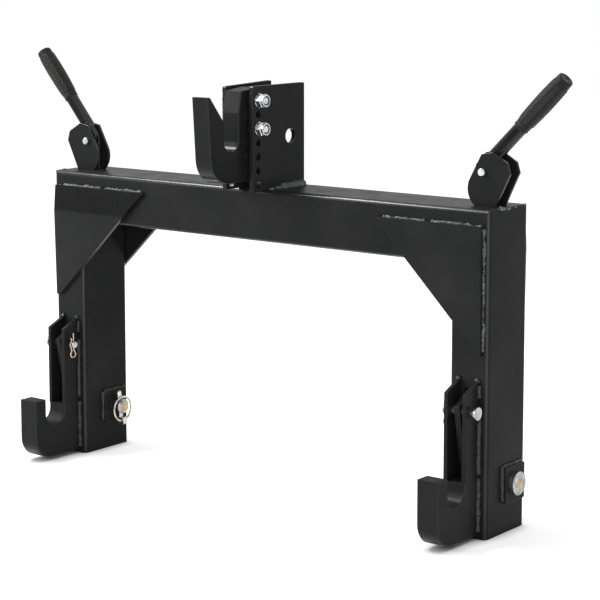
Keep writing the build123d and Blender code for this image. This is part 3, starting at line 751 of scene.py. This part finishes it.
def grip_profile():
    """(length, radius, ribbed) of each ring from the root's face to the vent's floor."""
    rings = [
        (0.0, lever_radius, False),
        (0.0, grip_root - root_face_inset, False),
        (root_round, grip_root - root_inset, False),
    ]
    steps = round((grip_length - tip_round) / grip_ring_step)
    for k in range(root_rings, steps):
        s = (grip_length - tip_round) * k / steps
        groove = groove_depth if abs(s - collar_length) < groove_half else 0.0
        rings.append((s, barrel_radius(s / grip_length) - rib_height - groove, True))
    for k in range(tip_rings + 1):
        turn = math.pi / 2 * k / tip_rings
        s = grip_length - tip_round * (1 - math.sin(turn))
        r = grip_tip - rib_height - tip_round * (1 - math.cos(turn))
        rings.append((s, r, False))
    rings += [
        (grip_length, vent_radius + vent_chamfer, False),
        (grip_length - vent_chamfer, vent_radius, False),
        (grip_length - vent_depth, vent_radius, False),
    ]
    return rings


def add_grip(side_name, side):
    """Ribbed grip in place of the plain one, along its lever at rest."""
    lean = handle_rest[side_name]
    joint_name = f"{side_name}_handle_turn"
    pivot = next(Vector(j["pos_m"]) for j in frame["joints"] if j["name"] == joint_name)
    along = Vector((side * math.sin(lean), 0, math.cos(lean)))
    up = Vector((-side * math.cos(lean), 0, math.sin(lean)))
    across = along.cross(up)
    root = pivot + along * grip_distance + up * lever_offset
    profile = grip_profile()
    points = []
    for s, radius, ribbed in profile:
        for k in range(grip_around):
            turn = 2 * math.pi * k / grip_around
            r = radius + (rib(s, turn) if ribbed else 0.0)
            outward = across * math.cos(turn) + up * math.sin(turn)
            points.append(root + along * s + outward * r)
    faces = rings_to_faces(len(profile), grip_around)
    name = f"{side_name}_ribbed_grip"
    body = f"{side_name}_handle"
    grip = add_piece(name, points, faces, body, finishes["grip_rubber"])
    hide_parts(f"{side_name}_grip")


for side_name, side in sides.items():
    add_grip(side_name, side)


# Studio: pale floor, white surroundings and three soft lamps
floor_size = 14.0
floor_drop = 0.2 * mm
floor_colour = (0.90, 0.90, 0.90, 1.0)
floor_glow = 0.58
# Glow left inside the painted contact shadow, and how far that shadow reaches.
painted_shadow_glow = 0.0
contact_reach = 30 * mm
contact_samples = 16
world_left = 0.64
world_right = 0.38


def seen_plainly(tree):
    """1 for what the camera sees directly, in a reflection or through glass, otherwise 0."""
    rays = tree.nodes.new("ShaderNodeLightPath")
    total = rays.outputs["Is Camera Ray"]
    for name in ("Is Glossy Ray", "Is Transmission Ray"):
        either = tree.nodes.new("ShaderNodeMath")
        either.operation = "MAXIMUM"
        tree.links.new(total, either.inputs[0])
        tree.links.new(rays.outputs[name], either.inputs[1])
        total = either.outputs[0]
    return total


def add_floor():
    """Floor that glows white for the camera, but not close to what stands on it: a painted contact shadow."""
    h = floor_size / 2
    mesh = bpy.data.meshes.new("studio_floor")
    mesh.from_pydata([(-h, -h, 0), (h, -h, 0), (h, h, 0), (-h, h, 0)], [], [(0, 1, 2, 3)])
    floor = bpy.data.objects.new("studio_floor", mesh)
    floor.location.z = -floor_drop
    bpy.context.scene.collection.objects.link(floor)
    paper = Shader("studio_paper")
    paper.set(
        Base_Color=floor_colour, Roughness=0.9, Specular_IOR_Level=0.1, Emission_Color=white
    )
    # Painted contact shadow: ambient occlusion takes the glow away near what stands on the floor.
    open_sky = paper.node("ShaderNodeAmbientOcclusion", Distance=contact_reach)
    open_sky.samples = contact_samples
    glow_outside_painted_shadow = paper.level(open_sky.outputs["AO"], painted_shadow_glow, floor_glow, start=0.30, end=0.85)
    paper.feed(Emission_Strength=paper.math("MULTIPLY", seen_plainly(paper.tree), glow_outside_painted_shadow))
    dress(floor, paper.material)


def set_world():
    """White to the camera and in reflections, softer as a lamp, and softest from the right."""
    world = bpy.data.worlds.new("studio_world")
    bpy.context.scene.world = world
    world.use_nodes = True
    tree = world.node_tree
    background = tree.nodes["Background"]
    background.inputs["Color"].default_value = white
    direction = tree.nodes.new("ShaderNodeSeparateXYZ")
    tree.links.new(
        tree.nodes.new("ShaderNodeTexCoord").outputs["Generated"], direction.inputs[0]
    )
    lean = tree.nodes.new("ShaderNodeMapRange")
    lean.inputs["From Min"].default_value = -1.0
    lean.inputs["To Min"].default_value = world_left
    lean.inputs["To Max"].default_value = world_right
    tree.links.new(direction.outputs["X"], lean.inputs["Value"])
    strength = tree.nodes.new("ShaderNodeMapRange")
    strength.inputs["To Max"].default_value = 1.0
    tree.links.new(lean.outputs["Result"], strength.inputs["To Min"])
    tree.links.new(seen_plainly(tree), strength.inputs["Value"])
    tree.links.new(strength.outputs["Result"], background.inputs["Strength"])


def add_lamp(name, place, aim, size, watts):
    data = bpy.data.lights.new(name, "AREA")
    data.shape = "RECTANGLE"
    data.size, data.size_y = size
    data.energy = watts
    lamp = bpy.data.objects.new(name, data)
    lamp.location = place
    lamp.rotation_euler = (Vector(aim) - Vector(place)).to_track_quat("-Z", "Y").to_euler()
    bpy.context.scene.collection.objects.link(lamp)


add_floor()
set_world()
add_lamp("high_softbox", place=(-1.35, -0.45, 2.2), aim=(0, 0, 0.3), size=(1.3, 0.5), watts=32)
add_lamp("front_strip", place=(1.25, -2.10, 0.95), aim=(0, 0, 0.35), size=(0.10, 1.2), watts=5)
add_lamp("left_softbox", place=(-1.9, -2.1, 1.4), aim=(0, 0, 0.25), size=(0.9, 1.2), watts=29)


# Camera, from the photograph's perspective
camera_place = (1.57253, -1.90857, 0.70272)
camera_turn = 0.66170
camera_dip = 0.12358
sensor_width = 36.0
image_size = 600
focal_pixels = 1884.8
centre_px = (306.07, 200.0)


def add_camera():
    data = bpy.data.cameras.new("photo_camera")
    data.sensor_width = sensor_width
    data.lens = focal_pixels * sensor_width / image_size
    data.shift_x = (image_size / 2 - centre_px[0]) / image_size
    data.shift_y = (centre_px[1] - image_size / 2) / image_size
    camera = bpy.data.objects.new("photo_camera", data)
    camera.location = camera_place
    camera.rotation_euler = (math.pi / 2 - camera_dip, 0, camera_turn)
    bpy.context.scene.collection.objects.link(camera)
    bpy.context.scene.camera = camera


add_camera()
bpy.context.scene.view_settings.view_transform = "Standard"
